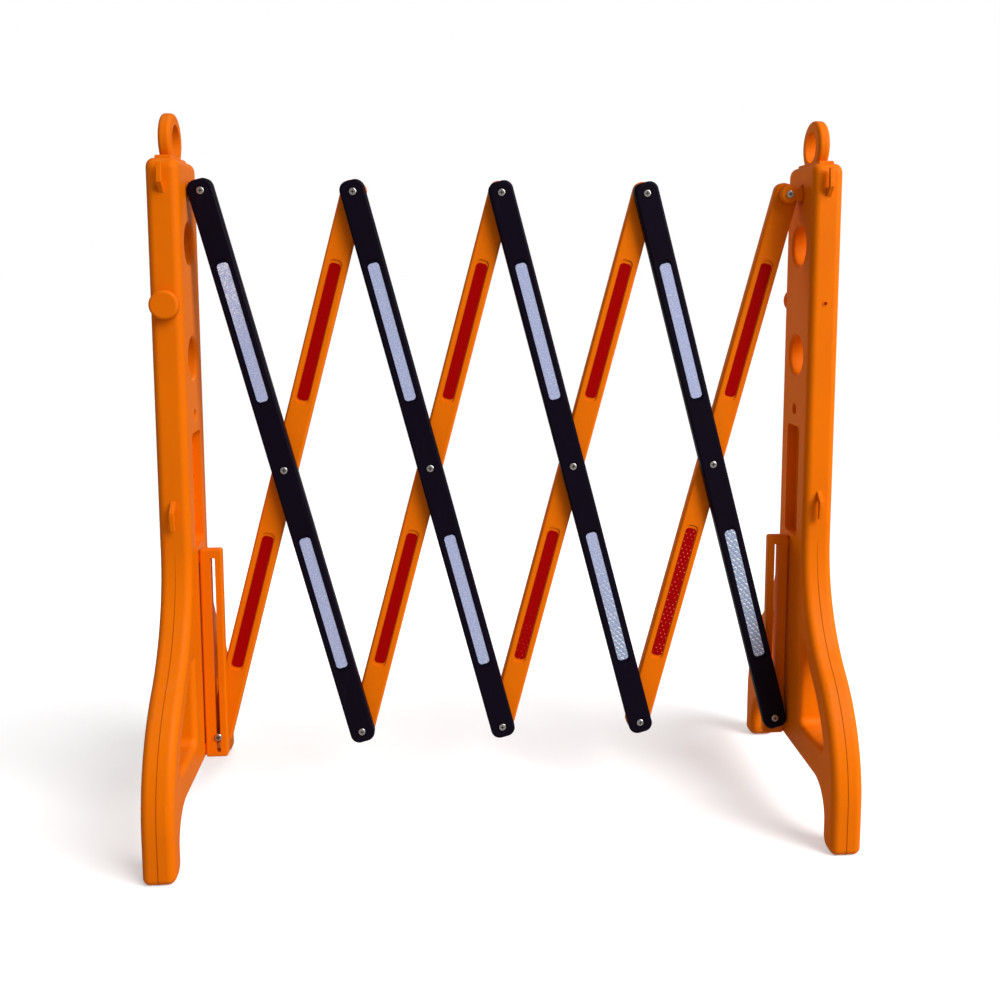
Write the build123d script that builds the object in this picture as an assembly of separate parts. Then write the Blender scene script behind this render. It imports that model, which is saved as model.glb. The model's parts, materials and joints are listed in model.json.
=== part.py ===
from build123d import *
import os
from math import cos, hypot, radians, sin, sqrt

# Expanding scissor barricade: two hollow moulded end posts joined by crossed slats.
# Millimetres. +Z up, X along the barricade, -Y the side that carries the reflectors.
# The origin is on the floor, midway between the posts.

# ---------------------------------------------------------------- driving sizes
post_height = 960.0            # floor to the top of the lifting eye
foot_spread = 406.0            # front toe to rear toe
post_depth = 113.0             # upper column, front to rear
post_thickness = 41.0          # moulding width, along X
post_wall = 3.0
post_edge_round = 10.0

bay_count = 4
rest_angle = 14.8              # slat lean from vertical in the modelled pose
folded_angle = 7.5
open_angle = 50.0
top_pivot_drop = 100.0         # top of the eye down to the upper pivots
folded_pivot_height = 90.6     # lower pivots above the floor when folded

slat_width = 34.0
slat_thickness = 14.0
slat_end_margin = 15.5         # slat end beyond its end pivot
slat_corner = 12.5
slat_edge_round = 3.5
slat_skin = 4.0
slat_wall = 2.5
slat_rib = 2.0
slat_rib_pitch = 58.0
slat_boss_radius = 10.0
layer_gap = 1.0                # between the front and the rear layer of slats
post_clearance = 1.1           # slat end to the post while it turns

strip_width = 15.5
strip_length = 192.0
strip_thickness = 0.8
strip_corner = 5.0
strip_recess_depth = 1.8
strip_side_margin = 1.25
strip_end_margin = 5.0

screw_radius = 2.5
screw_head_radius = 5.25
screw_head_height = 2.6
screw_head_dome = 1.6
cross_slot_width = 1.5
cross_slot_length = 5.6
cross_slot_depth = 1.4
counterbore_depth = 2.5
counterbore_clearance = 0.75
nut_across_flats = 8.0
nut_thickness = 4.0
washer_radius = 6.0
screw_tip = 1.0                # screw end beyond its nut
running_clearance = 0.08       # radial, pin in its hole
open_pivot_clearance = 0.3     # radial, lower pivots that close the linkage
nut_clearance = 0.05           # radial, nut and washer on the screw
face_clearance = 0.05          # between faces that slide on each other

cap_drop = 61.0                # eye top down to the body top
cap_round = 14.0
pad_height = 4.0
pad_width = 20.0
pad_length = 88.0
pad_round = 2.0

flare_start = 384.0            # column starts to widen below this height
toe_height = 65.0              # front of the foot is upright below this height
foot_length = 38.0
toe_round = 10.0
heel_round = 18.0
arch_height = 74.0
arch_round = 40.0

strut_width = 34.0             # material in front of a foot window
window_side = 60.0             # window's inner side from the post's centre plane
window_floor = 121.0
window_corner = 10.0
window_tip_corner = 6.0
window_lip = 8.0

grip_hole_radius = 27.5
grip_hole_lip = 5.0
grip_hole_drops = (170.0, 322.0)    # below the top of the eye
drain_hole_radius = 7.5
drain_hole_drop = 399.0
drain_hole_lip = 1.5

pocket_half_width = 26.0
pocket_depth = 13.0
pocket_top_drop = 422.0
pocket_length = 156.5
pocket_corner = 9.0
pocket_lug_count = 4
pocket_lug_pitch = 36.0
pocket_lug = (3.0, 3.0, 6.0)

eye_radius = 35.5
eye_hole_radius = 21.0
eye_thickness = 16.0
eye_edge_round = 5.0
eye_root_half = 30.0
eye_root_depth = 22.5          # root below the cap pad
socket_clearance = 0.1         # between a plugged-in tab and its socket

bracket_radius = 12.0
bracket_neck = 17.0
bracket_edge_round = 2.0
tab_depth = 10.0
tab_neck_depth = 3.0
tab_thickness = 9.0
tab_flare = 4.0                # tab head above and below its neck

track_overhang = 12.5          # track beyond the slot's centre line
track_post_gap = 1.5
track_end_margin = 6.5         # track beyond its slot, at the bottom
track_top_margin = 12.5        # track beyond its slot, at the top
track_corner = 3.5
track_edge_round = 2.5
track_tab = 13.0
track_tab_inset = 6.0
slot_side_clearance = 0.5
slot_end_clearance = 1.0

hook_thickness = 6.5
hook_reach = 13.0
hook_throat = 6.0
hook_blade_top = 4.5
hook_height = 38.0
hook_root = 13.0
hook_edge_round = 1.0
upper_hook_drop = 68.0         # top of the eye down to the upper hook's tip
lower_hook_drop = 544.0        # top of the eye down to the lower hook's tip

plug_drop = 248.0              # top of the eye down to the filler plug
plug_head_radius = 19.0
plug_head_height = 12.0
plug_dome = 4.0
plug_knurl_count = 48
plug_knurl_radius = 0.7
plug_stem_radius = 9.0
plug_stem_length = 14.0
gasket_thickness = 1.5
gasket_radius = 13.0
neck_wall = 3.0
neck_length = 17.0
vent_radius = 2.4              # moulded blind; drilled through when a vent is wanted
vent_rim_radius = 3.7
vent_rim_height = 0.8
vent_depth = 1.8

over_cut = 1.0                 # cutters and joined roots run this far past a face

# ---------------------------------------------------------------- worked out
top_pivot_z = post_height - top_pivot_drop
slat_span = (top_pivot_z - folded_pivot_height) / cos(radians(folded_angle))
bay_width = slat_span * sin(radians(rest_angle))
low_pivot_z = top_pivot_z - slat_span * cos(radians(rest_angle))
middle_z = (top_pivot_z + low_pivot_z) / 2
pivot_x = [(i - bay_count / 2) * bay_width for i in range(bay_count + 1)]

slat_reach = hypot(slat_width / 2 - slat_corner, slat_end_margin - slat_corner) + slat_corner
post_inner_x = pivot_x[0] - slat_reach - post_clearance
post_outer_x = post_inner_x - post_thickness
post_mid_x = (post_inner_x + post_outer_x) / 2

half_depth = post_depth / 2
half_foot = foot_spread / 2
body_top = post_height - cap_drop
pad_top = body_top + pad_height
flare_out = half_foot - half_depth
flare_drop = flare_start - toe_height
flare_radius = (flare_out ** 2 + flare_drop ** 2) / (4 * flare_out)
flare_sin = flare_drop / (2 * flare_radius)

front_layer = (-layer_gap / 2 - slat_thickness, -layer_gap / 2)
rear_layer = (layer_gap / 2, layer_gap / 2 + slat_thickness)
hole_radius = screw_radius + running_clearance
counterbore_radius = screw_head_radius + counterbore_clearance
plug_z = post_height - plug_drop
eye_z = post_height - eye_radius

slot_half_width = screw_radius + slot_side_clearance
slot_low = folded_pivot_height - screw_radius - slot_end_clearance
slot_high = top_pivot_z - slat_span * cos(radians(open_angle)) + screw_radius + slot_end_clearance
track_low = slot_low - track_end_margin
track_high = slot_high + track_top_margin


# ---------------------------------------------------------------- helpers
def block(x_range, y_range, z_range):
    """Box between two limits on each axis."""
    low = Vector(x_range[0], y_range[0], z_range[0])
    high = Vector(x_range[1], y_range[1], z_range[1])
    size = high - low
    return Location((low + high) / 2) * Box(size.X, size.Y, size.Z)


def prism_along_x(face, x_range):
    """Extrude a face drawn as (Y, Z) between two X limits."""
    return extrude(Plane.YZ.offset(x_range[0]) * face, amount=x_range[1] - x_range[0])


def prism_along_y(face, y_range):
    """Extrude a face drawn as (X, Z) between two Y limits."""
    return extrude(Plane.XZ.offset(-y_range[1]) * face, amount=y_range[1] - y_range[0])


def rod_along_y(x, z, radius, y_range):
    length = y_range[1] - y_range[0]
    return Location((x, (y_range[0] + y_range[1]) / 2, z), (90, 0, 0)) * Cylinder(radius, length)


def rod_along_x(y, z, radius, x_range):
    length = x_range[1] - x_range[0]
    return Location(((x_range[0] + x_range[1]) / 2, y, z), (0, 90, 0)) * Cylinder(radius, length)


def face_edges(shape, axis, position):
    """Edges that lie in one plane square to an axis."""
    return shape.edges().filter_by_position(axis, position - 0.01, position + 0.01)


def mirrored(half):
    """A (Y, Z) face together with its mirror image across the post's centre plane."""
    return half + mirror(half, about=Plane.YZ)


def grouped(shapes):
    return Compound(children=[solid for shape in shapes for solid in shape.solids()])


def export(name, shape):
    export_step(shape, os.path.join("parts", name + ".step"))


# ---------------------------------------------------------------- post outline
def flare_point(inset, upper, turn_sin):
    """Point on the flare, moved inwards by inset; turn_sin is the sine of its angle."""
    turn_cos = sqrt(1 - turn_sin ** 2)
    if upper:
        radius = flare_radius + inset
        return (half_depth + flare_radius - radius * turn_cos, flare_start - radius * turn_sin)
    radius = flare_radius - inset
    return (half_foot - flare_radius + radius * turn_cos, toe_height + radius * turn_sin)


def flare_arc(inset, upper, first_sin, last_sin):
    middle = (first_sin + last_sin) / 2
    points = [flare_point(inset, upper, turn) for turn in (first_sin, middle, last_sin)]
    return ThreePointArc(*points)


def post_face(inset):
    """Side view of the moulding, every edge moved inwards by inset."""
    heel = half_foot - foot_length + inset
    arch_start = (heel, arch_height - arch_round)
    arch_centre_y = half_foot - foot_length - arch_round
    arch_radius = arch_round + inset
    arch_mid = (arch_centre_y + arch_radius * cos(radians(45)),
                arch_height - arch_round + arch_radius * sin(radians(45)))
    arch_end = (arch_centre_y, arch_height + inset)
    side = half_depth - inset
    toe = half_foot - inset
    lines = [
        Line((0, body_top - inset), (side, body_top - inset)),
        Line((side, body_top - inset), (side, flare_start)),
        flare_arc(inset, True, 0, flare_sin),
        flare_arc(inset, False, flare_sin, 0),
        Line((toe, toe_height), (toe, inset)),
        Line((toe, inset), (heel, inset)),
        Line((heel, inset), arch_start),
        ThreePointArc(arch_start, arch_mid, arch_end),
        Line(arch_end, (0, arch_height + inset)),
        Line((0, arch_height + inset), (0, body_top - inset)),
    ]
    half = make_face(Curve() + lines)
    half = round_corner(half, (side, body_top - inset), cap_round - inset)
    half = round_corner(half, (toe, inset), toe_round - inset)
    half = round_corner(half, (heel, inset), heel_round - inset)
    return mirrored(half)


def round_corner(face, corner, radius):
    vertex = face.vertices().sort_by_distance(Vector(corner[0], corner[1], 0))[0]
    return fillet(vertex, radius)


def window_face(grow):
    """Opening between the column and the foot's strut, every edge moved outwards by grow."""
    inset = strut_width - grow
    side = window_side - grow
    floor = window_floor - grow
    tip_cos = (half_depth + flare_radius - side) / (flare_radius + inset)
    tip_sin = sqrt(1 - tip_cos ** 2)
    floor_sin = (floor - toe_height) / (flare_radius - inset)
    tip = flare_point(inset, True, tip_sin)
    toe_corner = flare_point(inset, False, floor_sin)
    lines = [
        flare_arc(inset, True, tip_sin, flare_sin),
        flare_arc(inset, False, flare_sin, floor_sin),
        Line(toe_corner, (side, floor)),
        Line((side, floor), tip),
    ]
    half = make_face(Curve() + lines)
    half = round_corner(half, (side, floor), window_corner + grow)
    half = round_corner(half, toe_corner, window_corner + grow)
    half = round_corner(half, tip, window_tip_corner + grow)
    return half


# ---------------------------------------------------------------- sockets and tabs
def tab_y_range(layer, grow):
    middle_y = (layer[0] + layer[1]) / 2
    return (middle_y - tab_thickness / 2 - grow, middle_y + tab_thickness / 2 + grow)


def tab_solid(z_range, layer, grow):
    """Plugged-in tab: a neck through the post's face and a taller head behind it."""
    y_range = tab_y_range(layer, grow)
    head = block((post_inner_x - tab_depth - grow, post_inner_x - tab_neck_depth + grow), y_range,
                 (z_range[0] - tab_flare - grow, z_range[1] + tab_flare + grow))
    return head + block((post_inner_x - tab_neck_depth, post_inner_x), y_range, z_range)


def socket_solid(z_range, layer, grow):
    """Pocket for a tab; its mouth is as tall as the tab's head."""
    return block((post_inner_x - tab_depth - grow, post_inner_x + over_cut), tab_y_range(layer, grow),
                 (z_range[0] - tab_flare - grow, z_range[1] + tab_flare + grow))


bracket_tab = (top_pivot_z - bracket_neck / 2, top_pivot_z + bracket_neck / 2)
upper_track_tab = (track_high - track_tab_inset - track_tab, track_high - track_tab_inset)
lower_track_tab = (track_low + track_tab_inset, track_low + track_tab_inset + track_tab)
tabs = [(bracket_tab, rear_layer), (upper_track_tab, front_layer), (lower_track_tab, front_layer)]


# ---------------------------------------------------------------- post shell
def pocket_block(grow):
    top = post_height - pocket_top_drop
    face = RectangleRounded(2 * (pocket_half_width + grow), pocket_length + 2 * grow, pocket_corner + grow)
    face = Location((0, top - pocket_length / 2)) * face
    return prism_along_x(face, (post_inner_x - pocket_depth - grow, post_inner_x + over_cut))


def pocket_lugs():
    middle = post_height - pocket_top_drop - pocket_length / 2
    first = middle - pocket_lug_pitch * (pocket_lug_count - 1) / 2
    size_x, size_y, size_z = pocket_lug
    lugs = []
    for i in range(pocket_lug_count):
        z = first + i * pocket_lug_pitch
        lugs.append(block((post_inner_x - pocket_depth, post_inner_x - pocket_depth + size_x),
                          (pocket_half_width - size_y, pocket_half_width + post_wall / 2),
                          (z - size_z / 2, z + size_z / 2)))
    return lugs


def eye_root(grow):
    return block((post_mid_x - eye_thickness / 2 - grow, post_mid_x + eye_thickness / 2 + grow),
                 (-eye_root_half - grow, eye_root_half + grow),
                 (pad_top - eye_root_depth - grow, pad_top + grow))


def post_body():
    body = prism_along_x(post_face(0), (post_outer_x, post_inner_x))
    rims = face_edges(body, Axis.X, post_outer_x) + face_edges(body, Axis.X, post_inner_x)
    body = fillet(rims, post_edge_round)
    pad = block((post_mid_x - pad_width / 2, post_mid_x + pad_width / 2),
                (-pad_length / 2, pad_length / 2), (body_top - over_cut, pad_top))
    pad = fillet(face_edges(pad, Axis.Z, pad_top), pad_round)
    return body + pad


def post_cavity():
    """Ballast space, one wall inside the moulding and around everything that passes through it."""
    x_range = (post_outer_x + post_wall, post_inner_x - post_wall)
    face = post_face(post_wall) - mirrored(window_face(post_wall))
    cavity = prism_along_x(face, x_range)
    rims = face_edges(cavity, Axis.X, x_range[0]) + face_edges(cavity, Axis.X, x_range[1])
    cavity = fillet(rims, post_edge_round - post_wall)
    full = (post_outer_x, post_inner_x)
    for drop in grip_hole_drops:
        cavity -= rod_along_x(0, post_height - drop, grip_hole_radius + post_wall, full)
    cavity -= rod_along_x(0, post_height - drain_hole_drop, drain_hole_radius + post_wall, full)
    cavity -= pocket_block(post_wall)
    for z_range, layer in tabs:
        cavity -= socket_solid(z_range, layer, socket_clearance + post_wall)
    cavity -= eye_root(socket_clearance + post_wall)
    cavity -= rod_along_y(post_mid_x, plug_z, plug_stem_radius + neck_wall,
                          (-half_depth, -half_depth + neck_length))
    return cavity


def post_shell():
    shell = post_body() - post_cavity()
    through = (post_outer_x - over_cut, post_inner_x + over_cut)
    faces = (post_outer_x, post_inner_x)

    windows = prism_along_x(mirrored(window_face(0)), through)
    shell -= windows
    lips = [edge for x in faces for edge in face_edges(shell, Axis.X, x)
            if edge.center().Z < flare_start and abs(edge.center().Y) > window_side - over_cut]
    shell = fillet(lips, window_lip)

    for drop in grip_hole_drops:
        shell = lipped_hole(shell, post_height - drop, grip_hole_radius, grip_hole_lip)
    shell = lipped_hole(shell, post_height - drain_hole_drop, drain_hole_radius, drain_hole_lip)

    shell -= pocket_block(0)
    for lug in pocket_lugs():
        shell += lug
    for z_range, layer in tabs:
        shell -= socket_solid(z_range, layer, socket_clearance)
    shell -= eye_root(socket_clearance)

    shell -= rod_along_y(post_mid_x, plug_z, plug_stem_radius + running_clearance,
                         (-half_depth - over_cut, -half_depth + neck_length + over_cut))
    vent_face = half_depth + vent_rim_height
    shell += rod_along_y(post_mid_x, plug_z, vent_rim_radius, (half_depth - over_cut, vent_face))
    shell -= rod_along_y(post_mid_x, plug_z, vent_radius, (vent_face - vent_depth, vent_face + over_cut))
    return shell


def lipped_hole(shell, z, radius, lip):
    """Cross hole through the post with rounded mouths."""
    shell -= rod_along_x(0, z, radius, (post_outer_x - over_cut, post_inner_x + over_cut))
    mouths = [edge for x in (post_outer_x, post_inner_x) for edge in face_edges(shell, Axis.X, x)
              if edge.geom_type == GeomType.CIRCLE and abs(edge.radius - radius) < 0.01
              and abs(edge.arc_center.Z - z) < 0.1]
    return fillet(mouths, lip)


# ---------------------------------------------------------------- post fittings
def top_eye():
    half = eye_thickness / 2
    ring = rod_along_x(0, eye_z, eye_radius, (post_mid_x - half, post_mid_x + half))
    ring = fillet(ring.edges().filter_by(GeomType.CIRCLE), eye_edge_round)
    below = block((post_outer_x, post_inner_x), (-foot_spread, foot_spread), (0, pad_top))
    eye = (ring - below) + eye_root(0)
    return eye - rod_along_x(0, eye_z, eye_hole_radius, (post_outer_x, post_inner_x))


def hinge_bracket():
    half = bracket_neck / 2
    neck = Location(((post_inner_x + pivot_x[0]) / 2, top_pivot_z)) * Rectangle(
        pivot_x[0] - post_inner_x, bracket_neck)
    ear = neck + Location((pivot_x[0], top_pivot_z)) * Circle(bracket_radius)
    bracket = prism_along_y(ear, rear_layer)
    bracket = fillet(face_edges(bracket, Axis.Y, rear_layer[1]), bracket_edge_round)
    bracket += tab_solid((top_pivot_z - half, top_pivot_z + half), rear_layer, 0)
    return bracket - rod_along_y(pivot_x[0], top_pivot_z, hole_radius,
                                 (rear_layer[0] - over_cut, rear_layer[1] + over_cut))


def slide_track():
    """Slotted plate for the sliding end of a slat, with two tabs into the post."""
    left = post_inner_x + track_post_gap
    right = pivot_x[0] + track_overhang
    centre = Location(((left + right) / 2, (track_low + track_high) / 2))
    outline = RectangleRounded(right - left, track_high - track_low, track_corner)
    track = prism_along_y(centre * outline, front_layer)
    rims = face_edges(track, Axis.Y, front_layer[0]) + face_edges(track, Axis.Y, front_layer[1])
    track = fillet(rims, track_edge_round)
    for z_range in (upper_track_tab, lower_track_tab):
        track += tab_solid(z_range, front_layer, 0)
        track += block((post_inner_x, left + track_edge_round), tab_y_range(front_layer, 0), z_range)
    slot_centre = Location((pivot_x[0], (slot_low + slot_high) / 2))
    slot = slot_centre * Rectangle(2 * slot_half_width, slot_high - slot_low)
    return track - prism_along_y(slot, (front_layer[0] - over_cut, front_layer[1] + over_cut))


def hook_face(y_root, z_tip, upwards):
    """Side view of a rope hook on the front of a post; its tip points up or down."""
    turn = 1 if upwards else -1
    outer = y_root - hook_reach
    return make_face(Polyline(
        (y_root, z_tip - turn * hook_height),
        (y_root, z_tip - turn * (hook_height - hook_root)),
        (y_root - hook_throat, z_tip - turn * (hook_height - hook_root)),
        (y_root - hook_throat, z_tip),
        (y_root - hook_throat - hook_blade_top, z_tip),
        (outer, z_tip - turn * hook_height / 2),
        (outer, z_tip - turn * (hook_height - hook_root)),
        close=True))


def hooks():
    x_range = (post_mid_x - hook_thickness / 2, post_mid_x + hook_thickness / 2)
    upper = prism_along_x(hook_face(-half_depth, post_height - upper_hook_drop, True), x_range)
    lower = prism_along_x(hook_face(-half_depth, post_height - lower_hook_drop, False), x_range)
    pair = [fillet(hook.edges().filter_by(Axis.X, reverse=True).filter_by_position(
        Axis.Y, -half_depth - hook_reach - over_cut, -half_depth - over_cut), hook_edge_round)
        for hook in (upper, lower)]
    return grouped(pair + [mirror(hook, about=Plane.XZ) for hook in pair])


def filler_plug():
    """Screw plug in its neck; a plain stem stands for the thread."""
    seat = -half_depth - gasket_thickness
    head = rod_along_y(post_mid_x, plug_z, plug_head_radius, (seat - plug_head_height, seat))
    head = fillet(face_edges(head, Axis.Y, seat - plug_head_height), plug_dome)
    groove = rod_along_y(post_mid_x, plug_z + plug_head_radius, plug_knurl_radius,
                         (seat - plug_head_height + plug_dome + over_cut, seat + over_cut))
    centre = Axis((post_mid_x, 0, plug_z), (0, 1, 0))
    grooves = [groove.rotate(centre, 360 * i / plug_knurl_count) for i in range(plug_knurl_count)]
    head -= grooves
    stem = (seat - over_cut, seat + plug_stem_length)
    return head + rod_along_y(post_mid_x, plug_z, plug_stem_radius, stem)


def plug_gasket():
    y_range = (-half_depth - gasket_thickness, -half_depth)
    ring = rod_along_y(post_mid_x, plug_z, gasket_radius, y_range)
    return ring - rod_along_y(post_mid_x, plug_z, plug_stem_radius + running_clearance,
                              (y_range[0] - over_cut, y_range[1] + over_cut))


# ---------------------------------------------------------------- slats
def slat_blank():
    """Upright slat, front face at -Y, back at Y = 0, centred on its middle pivot."""
    length = slat_span + 2 * slat_end_margin
    blank = prism_along_y(RectangleRounded(slat_width, length, slat_corner), (-slat_thickness, 0))
    blank = fillet(face_edges(blank, Axis.Y, -slat_thickness), slat_edge_round)

    pivots = (-slat_span / 2, 0, slat_span / 2)
    hollow = RectangleRounded(slat_width - 2 * slat_wall, length - 2 * slat_wall, slat_corner - slat_wall)
    for z in pivots:
        hollow -= Location((0, z)) * Circle(slat_boss_radius)
    rib_count = int(slat_span / 2 / slat_rib_pitch)
    for i in range(-rib_count, rib_count + 1):
        hollow -= Location((0, i * slat_span / 2 / rib_count)) * Rectangle(slat_width, slat_rib)
    blank -= prism_along_y(hollow, (slat_skin - slat_thickness, over_cut))

    recess = RectangleRounded(strip_width + 2 * strip_side_margin, strip_length + 2 * strip_end_margin,
                              strip_corner + strip_side_margin)
    for z in (-slat_span / 4, slat_span / 4):
        blank -= prism_along_y(Location((0, z)) * recess,
                               (-slat_thickness - over_cut, -slat_thickness + strip_recess_depth))
    return blank


def drilled_slat(blank, lower_radius, counterbored):
    pivots = ((-slat_span / 2, lower_radius), (0, hole_radius), (slat_span / 2, hole_radius))
    for z, radius in pivots:
        blank -= rod_along_y(0, z, radius, (-slat_thickness - over_cut, over_cut))
        if counterbored:
            blank -= rod_along_y(0, z, counterbore_radius,
                                 (-slat_thickness - over_cut, -slat_thickness + counterbore_depth))
    return blank


def strips():
    face = RectangleRounded(strip_width, strip_length, strip_corner)
    floor = -slat_thickness + strip_recess_depth
    return [prism_along_y(Location((0, z)) * face, (floor - strip_thickness, floor))
            for z in (-slat_span / 4, slat_span / 4)]


def slat_location(bay, layer, lean):
    """Place of a slat in its bay; lean is its turn about +Y, in degrees."""
    x = (pivot_x[bay] + pivot_x[bay + 1]) / 2
    return Location((x, layer[1], middle_z), (0, lean, 0))


# ---------------------------------------------------------------- fasteners
def screw(x, z, seat, nut_face):
    """Cross-recess screw; seat is the face under its head, nut_face the face under its nut."""
    seat -= face_clearance
    top = seat - screw_head_height
    head = rod_along_y(x, z, screw_head_radius, (top, seat))
    head = fillet(face_edges(head, Axis.Y, top), screw_head_dome)
    for width, height in ((cross_slot_length, cross_slot_width), (cross_slot_width, cross_slot_length)):
        head -= block((x - width / 2, x + width / 2), (top - over_cut, top + cross_slot_depth),
                      (z - height / 2, z + height / 2))
    shank_end = nut_face + face_clearance + nut_thickness + screw_tip
    return head + rod_along_y(x, z, screw_radius, (seat - over_cut, shank_end))


def nut(x, z, nut_face):
    y_range = (nut_face + face_clearance, nut_face + face_clearance + nut_thickness)
    hexagon = Location((x, z)) * RegularPolygon(nut_across_flats / 2, 6, major_radius=False)
    body = prism_along_y(hexagon, y_range)
    bore = (y_range[0] - over_cut, y_range[1] + over_cut)
    return body - rod_along_y(x, z, screw_radius + nut_clearance, bore)


def washer(x, z):
    half = layer_gap / 2 - face_clearance
    disc = rod_along_y(x, z, washer_radius, (-half, half))
    return disc - rod_along_y(x, z, screw_radius + nut_clearance, (-over_cut, over_cut))


# Each pivot is (x, z, face under the screw's head).
sunk_seat = front_layer[0] + counterbore_depth
proud_seat = front_layer[0]
pivot_groups = {
    "left_post": [(pivot_x[0], top_pivot_z, sunk_seat)],
    "right_post": [(pivot_x[bay_count], top_pivot_z, proud_seat)],
    "orange_slat_1": [(pivot_x[0], low_pivot_z, proud_seat)],
}
for bay in range(bay_count):
    group = [((pivot_x[bay] + pivot_x[bay + 1]) / 2, middle_z, sunk_seat),
             (pivot_x[bay + 1], low_pivot_z, sunk_seat)]
    if bay > 0:
        group.append((pivot_x[bay], top_pivot_z, sunk_seat))
    pivot_groups["black_slat_%d" % (bay + 1)] = group


# ---------------------------------------------------------------- build
os.makedirs("parts", exist_ok=True)

left_fittings = {
    "post_shell": post_shell(),
    "top_eye": top_eye(),
    "hinge_bracket": hinge_bracket(),
    "slide_track": slide_track(),
    "rope_hooks": hooks(),
    "filler_plug": filler_plug(),
    "plug_gasket": plug_gasket(),
}
for name, shape in left_fittings.items():
    export("left_" + name, shape)
    export("right_" + name, shape.rotate(Axis.Z, 180))

blank = slat_blank()
black_slat = drilled_slat(blank, hole_radius, True)
orange_slat = drilled_slat(blank, screw_radius + open_pivot_clearance, False)
for bay in range(bay_count):
    for colour, slat, layer, lean in (("black", black_slat, front_layer, -rest_angle),
                                      ("orange", orange_slat, rear_layer, rest_angle)):
        name = "%s_slat_%d" % (colour, bay + 1)
        place = slat_location(bay, layer, lean)
        export(name, place * slat)
        export(name + "_reflectors", grouped([place * strip for strip in strips()]))

for name, group in pivot_groups.items():
    rear = rear_layer[1]
    export(name + "_screws", grouped([screw(x, z, seat, rear) for x, z, seat in group]))
    export(name + "_nuts", grouped([nut(x, z, rear) for x, z, seat in group]))
    export(name + "_washers", grouped([washer(x, z) for x, z, seat in group]))
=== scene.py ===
import json
import math

import bmesh
import bpy
from mathutils import Matrix, Vector


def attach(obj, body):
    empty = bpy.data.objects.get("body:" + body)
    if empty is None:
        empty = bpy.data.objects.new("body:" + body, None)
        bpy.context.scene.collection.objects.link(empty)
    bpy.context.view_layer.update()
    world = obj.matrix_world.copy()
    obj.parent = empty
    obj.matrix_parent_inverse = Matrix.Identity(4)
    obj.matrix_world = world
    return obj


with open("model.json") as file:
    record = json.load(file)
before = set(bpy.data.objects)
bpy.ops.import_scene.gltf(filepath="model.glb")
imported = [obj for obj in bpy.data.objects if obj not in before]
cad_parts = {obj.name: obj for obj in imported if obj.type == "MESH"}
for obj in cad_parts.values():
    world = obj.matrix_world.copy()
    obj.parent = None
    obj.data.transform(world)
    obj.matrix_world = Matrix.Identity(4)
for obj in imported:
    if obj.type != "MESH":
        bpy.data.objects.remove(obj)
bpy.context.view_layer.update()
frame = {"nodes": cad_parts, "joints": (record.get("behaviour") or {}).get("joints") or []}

bl_info = {
    "name": "Scissor Barricade",
    "version": (1, 0, 0),
    "blender": (4, 5, 0),
    "location": "3D View > Sidebar > Barricade",
    "description": "Finishes, moulding details and stage for the expanding scissor barricade",
    "category": "Object",
}

NODES = frame["nodes"]
JOINTS = {joint["name"]: joint for joint in frame["joints"]}
SIDES = ("left", "right")
BAYS = (1, 2, 3, 4)
POST_NODES = ("post_shell", "top_eye", "hinge_bracket", "slide_track", "rope_hooks")
FASTENED_BODIES = ("left_post", "right_post", "orange_slat_1",
                   "black_slat_1", "black_slat_2", "black_slat_3", "black_slat_4")


def slat_lean():
    """Lean of the slats from vertical, from the first two pivots."""
    top = Vector(JOINTS["fold"]["pos_m"])
    middle = Vector(JOINTS["middle_pivot_1"]["pos_m"])
    return math.atan2(middle.x - top.x, top.z - middle.z)


# ------------------------------------------------------------------ settings
class BarricadeColours(bpy.types.PropertyGroup):
    orange: bpy.props.FloatVectorProperty(
        name="Orange plastic", description="Posts, fittings and rear slats",
        subtype="COLOR", size=3, min=0, max=1, default=(0.83, 0.165, 0.0))
    # painted shade: the dark red of the vent floor discs stands in for the shadow inside the blind vents
    recess: bpy.props.FloatVectorProperty(
        name="Deep recess", description="Bottom of the blind vents",
        subtype="COLOR", size=3, min=0, max=1, default=(0.32, 0.012, 0.0))
    black: bpy.props.FloatVectorProperty(
        name="Black plastic", description="Front slats",
        subtype="COLOR", size=3, min=0, max=1, default=(0.0045, 0.0020, 0.0080))
    white_sheet: bpy.props.FloatVectorProperty(
        name="White sheet", description="Reflective strips on the front slats",
        subtype="COLOR", size=3, min=0, max=1, default=(0.43, 0.485, 0.76))
    red_sheet: bpy.props.FloatVectorProperty(
        name="Red sheet", description="Reflective strips on the rear slats",
        subtype="COLOR", size=3, min=0, max=1, default=(0.40, 0.0004, 0.0003))
    steel: bpy.props.FloatVectorProperty(
        name="Zinc plate", description="Screws, nuts and washers",
        subtype="COLOR", size=3, min=0, max=1, default=(0.66, 0.64, 0.62))
    rubber: bpy.props.FloatVectorProperty(
        name="Gasket rubber", description="Filler plug gaskets",
        subtype="COLOR", size=3, min=0, max=1, default=(0.02, 0.019, 0.018))
    # painted shade: the dark cross in each screw's cross recess stands in for the shadow there
    painted_shade: bpy.props.FloatVectorProperty(
        name="Grime", description="Dirt packed into the screws' recesses",
        subtype="COLOR", size=3, min=0, max=1, default=(0.035, 0.022, 0.015))


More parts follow.
